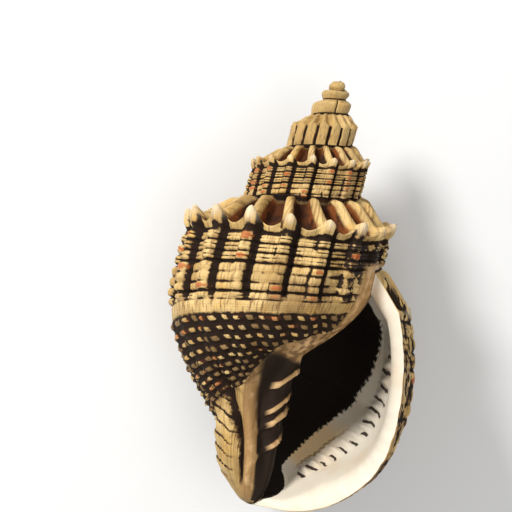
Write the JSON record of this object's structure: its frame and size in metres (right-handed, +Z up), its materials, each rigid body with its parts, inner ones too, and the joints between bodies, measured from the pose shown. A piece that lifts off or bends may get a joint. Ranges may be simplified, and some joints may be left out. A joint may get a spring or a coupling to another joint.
{
  "type": "murex shell",
  "caption": "Ribbed spiral sea shell with a stepped spire, a horned shoulder, a wide flared opening and a short canal, lying on its back.",
  "frame": {"origin": "centre of the bounding box's bottom, on the surface that the shell lies on", "axes": "+Y along the coiling axis towards the apex, +Z up, which is the way the opening faces, +X towards the outer lip"},
  "size_m": [0.036, 0.06, 0.0309],
  "materials": {
    "shell": "dry ribbed shell, cream and tan with rust-brown hollows, pale smooth lip and dark opening"
  },
  "bodies": {
    "root": {"shell": "shell"}
  },
  "joints": []
}
